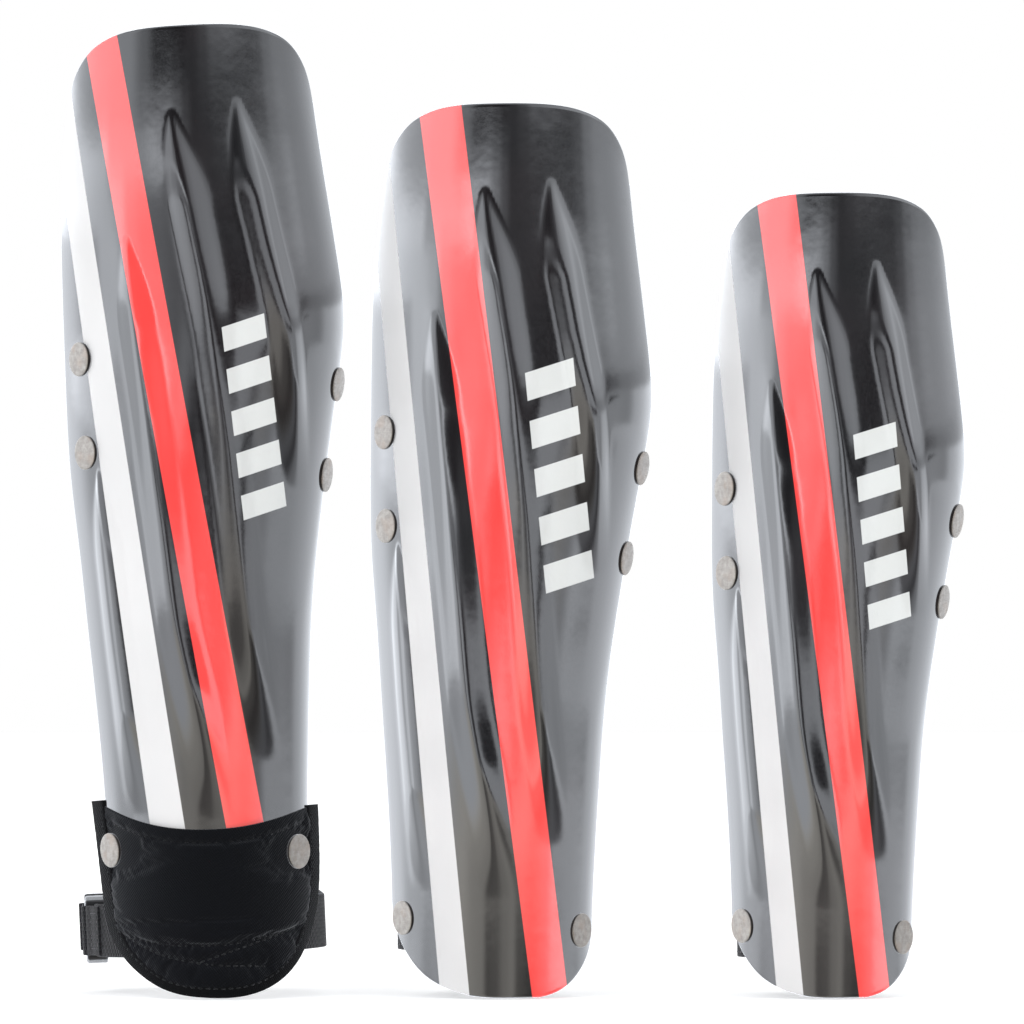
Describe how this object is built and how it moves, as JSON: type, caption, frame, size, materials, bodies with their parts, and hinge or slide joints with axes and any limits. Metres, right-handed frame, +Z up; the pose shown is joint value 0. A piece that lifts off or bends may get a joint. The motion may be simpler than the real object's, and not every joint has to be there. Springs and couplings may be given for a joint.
{
  "type": "ski racing shin guard set",
  "caption": "Set of slalom shin guards in long, mid and short lengths: ribbed moulded shells with foam liners, riveted elastic calf bands, ankle straps and release buckles.",
  "frame": {"origin": "on the mid guard's foot edge, at mid wall, below the shell's front ridge", "axes": "+Z up the shin, -Y is the way the shells face, +X towards the short guard"},
  "size_m": [0.3911, 0.1461, 0.418],
  "materials": {
    "shell": "glossy black injection-moulded thermoplastic with painted red and white stripes",
    "liner": "black brushed fabric laminated to closed-cell foam",
    "rivet": "nickel-plated, lightly brushed",
    "elastic": "black woven ribbed elastic",
    "webbing": "black nylon webbing",
    "buckle": "fine-grained black acetal",
    "flap_fabric": "black twill nylon over thin foam",
    "binding": "black grosgrain tape"
  },
  "bodies": {
    "long_guard": {"long_shell": "shell", "long_liner": "liner", "long_rivet_caps": "rivet", "long_rivet_washers": "rivet", "long_calf_band_left": "elastic", "long_calf_socket": "buckle", "long_ankle_strap_left": "webbing", "long_ankle_socket": "buckle", "long_flap_panel": "flap_fabric", "long_flap_binding": "binding"},
    "long_tongue": {"long_flap_tongue": "flap_fabric", "long_flap_tongue_binding": "binding"},
    "long_calf_plug_side": {"long_calf_plug": "buckle", "long_calf_band_right": "elastic"},
    "long_calf_upper_latch": {"long_calf_latch_top": "buckle"},
    "long_calf_lower_latch": {"long_calf_latch_bottom": "buckle"},
    "long_ankle_plug_side": {"long_ankle_plug": "buckle", "long_ankle_strap_right": "webbing"},
    "long_ankle_upper_latch": {"long_ankle_latch_top": "buckle"},
    "long_ankle_lower_latch": {"long_ankle_latch_bottom": "buckle"},
    "mid_guard": {"mid_shell": "shell", "mid_liner": "liner", "mid_rivet_caps": "rivet", "mid_rivet_washers": "rivet", "mid_calf_band_left": "elastic", "mid_calf_socket": "buckle", "mid_ankle_strap_left": "webbing", "mid_ankle_socket": "buckle"},
    "mid_calf_plug_side": {"mid_calf_plug": "buckle", "mid_calf_band_right": "elastic"},
    "mid_calf_upper_latch": {"mid_calf_latch_top": "buckle"},
    "mid_calf_lower_latch": {"mid_calf_latch_bottom": "buckle"},
    "mid_ankle_plug_side": {"mid_ankle_plug": "buckle", "mid_ankle_strap_right": "webbing"},
    "mid_ankle_upper_latch": {"mid_ankle_latch_top": "buckle"},
    "mid_ankle_lower_latch": {"mid_ankle_latch_bottom": "buckle"},
    "short_guard": {"short_shell": "shell", "short_liner": "liner", "short_rivet_caps": "rivet", "short_rivet_washers": "rivet", "short_calf_band_left": "elastic", "short_calf_socket": "buckle", "short_ankle_strap_left": "webbing", "short_ankle_socket": "buckle"},
    "short_calf_plug_side": {"short_calf_plug": "buckle", "short_calf_band_right": "elastic"},
    "short_calf_upper_latch": {"short_calf_latch_top": "buckle"},
    "short_calf_lower_latch": {"short_calf_latch_bottom": "buckle"},
    "short_ankle_plug_side": {"short_ankle_plug": "buckle", "short_ankle_strap_right": "webbing"},
    "short_ankle_upper_latch": {"short_ankle_latch_top": "buckle"},
    "short_ankle_lower_latch": {"short_ankle_latch_bottom": "buckle"}
  },
  "joints": [
    {"name": "long_flap_flex", "type": "hinge", "parent": "long_guard", "child": "long_tongue", "pos_m": [-0.12583, -0.00089, 0.01733], "axis": [0.9977, 0.0523, 0.0436], "range_deg": [-30, 20], "deforming": ["long_flap_tongue", "long_flap_tongue_binding"]},
    {"name": "long_calf_release", "type": "slide", "parent": "long_guard", "child": "long_calf_plug_side", "axis": [0.9977, 0.0523, 0.0436], "range_m": [0, 0.026], "deforming": ["long_calf_band_right", "long_calf_latch_top", "long_calf_latch_bottom"]},
    {"name": "long_calf_upper_press", "type": "hinge", "parent": "long_calf_plug_side", "child": "long_calf_upper_latch", "pos_m": [-0.13039, 0.10285, 0.25866], "axis": [0.0523, -0.9986, 0.0023], "range_deg": [0, 10]},
    {"name": "long_calf_lower_press", "type": "hinge", "parent": "long_calf_plug_side", "child": "long_calf_lower_latch", "pos_m": [-0.12956, 0.10285, 0.23968], "axis": [0.0523, -0.9986, 0.0023], "range_deg": [-10, 0]},
    {"name": "long_ankle_release", "type": "slide", "parent": "long_guard", "child": "long_ankle_plug_side", "axis": [-0.0523, 0.9986, -0.0023], "range_m": [0, 0.026], "deforming": ["long_ankle_strap_right", "long_ankle_latch_top", "long_ankle_latch_bottom"]},
    {"name": "long_ankle_upper_press", "type": "hinge", "parent": "long_ankle_plug_side", "child": "long_ankle_upper_latch", "pos_m": [-0.18008, 0.07672, 0.03699], "axis": [0.9977, 0.0523, 0.0436], "range_deg": [0, 10]},
    {"name": "long_ankle_lower_press", "type": "hinge", "parent": "long_ankle_plug_side", "child": "long_ankle_lower_latch", "pos_m": [-0.17925, 0.07672, 0.01801], "axis": [0.9977, 0.0523, 0.0436], "range_deg": [-10, 0]},
    {"name": "mid_calf_release", "type": "slide", "parent": "mid_guard", "child": "mid_calf_plug_side", "axis": [1, 0, 0], "range_m": [0, 0.026], "deforming": ["mid_calf_band_right", "mid_calf_latch_top", "mid_calf_latch_bottom"]},
    {"name": "mid_calf_upper_press", "type": "hinge", "parent": "mid_calf_plug_side", "child": "mid_calf_upper_latch", "pos_m": [0.00441, 0.10268, 0.2249], "axis": [0, -1, 0], "range_deg": [0, 10]},
    {"name": "mid_calf_lower_press", "type": "hinge", "parent": "mid_calf_plug_side", "child": "mid_calf_lower_latch", "pos_m": [0.00441, 0.10268, 0.2059], "axis": [0, -1, 0], "range_deg": [-10, 0]},
    {"name": "mid_ankle_release", "type": "slide", "parent": "mid_guard", "child": "mid_ankle_plug_side", "axis": [1, 0, 0], "range_m": [0, 0.026], "deforming": ["mid_ankle_strap_right", "mid_ankle_latch_top", "mid_ankle_latch_bottom"]},
    {"name": "mid_ankle_upper_press", "type": "hinge", "parent": "mid_ankle_plug_side", "child": "mid_ankle_upper_latch", "pos_m": [-0.00053, 0.08701, 0.0407], "axis": [0, -1, 0], "range_deg": [0, 10]},
    {"name": "mid_ankle_lower_press", "type": "hinge", "parent": "mid_ankle_plug_side", "child": "mid_ankle_lower_latch", "pos_m": [-0.00053, 0.08701, 0.0217], "axis": [0, -1, 0], "range_deg": [-10, 0]},
    {"name": "short_calf_release", "type": "slide", "parent": "short_guard", "child": "short_calf_plug_side", "axis": [1, 0, 0], "range_m": [0, 0.026], "deforming": ["short_calf_band_right", "short_calf_latch_top", "short_calf_latch_bottom"]},
    {"name": "short_calf_upper_press", "type": "hinge", "parent": "short_calf_plug_side", "child": "short_calf_upper_latch", "pos_m": [0.1461, 0.09234, 0.20336], "axis": [0, -1, 0], "range_deg": [0, 10]},
    {"name": "short_calf_lower_press", "type": "hinge", "parent": "short_calf_plug_side", "child": "short_calf_lower_latch", "pos_m": [0.1461, 0.09234, 0.18436], "axis": [0, -1, 0], "range_deg": [-10, 0]},
    {"name": "short_ankle_release", "type": "slide", "parent": "short_guard", "child": "short_ankle_plug_side", "axis": [1, 0, 0], "range_m": [0, 0.026], "deforming": ["short_ankle_strap_right", "short_ankle_latch_top", "short_ankle_latch_bottom"]},
    {"name": "short_ankle_upper_press", "type": "hinge", "parent": "short_ankle_plug_side", "child": "short_ankle_upper_latch", "pos_m": [0.14165, 0.07823, 0.03758], "axis": [0, -1, 0], "range_deg": [0, 10]},
    {"name": "short_ankle_lower_press", "type": "hinge", "parent": "short_ankle_plug_side", "child": "short_ankle_lower_latch", "pos_m": [0.14165, 0.07823, 0.01858], "axis": [0, -1, 0], "range_deg": [-10, 0]},
    {"name": "mid_guard_lift", "type": "slide", "parent": "long_guard", "child": "mid_guard", "axis": [0, 0, 1], "range_m": [0, 0.45]},
    {"name": "short_guard_lift", "type": "slide", "parent": "long_guard", "child": "short_guard", "axis": [0, 0, 1], "range_m": [0, 0.45]}
  ],
  "couplings": [
    {"joint": "long_calf_lower_press", "follows": "long_calf_upper_press", "ratio": -1},
    {"joint": "long_ankle_lower_press", "follows": "long_ankle_upper_press", "ratio": -1},
    {"joint": "mid_calf_lower_press", "follows": "mid_calf_upper_press", "ratio": -1},
    {"joint": "mid_ankle_lower_press", "follows": "mid_ankle_upper_press", "ratio": -1},
    {"joint": "short_calf_lower_press", "follows": "short_calf_upper_press", "ratio": -1},
    {"joint": "short_ankle_lower_press", "follows": "short_ankle_upper_press", "ratio": -1}
  ]
}
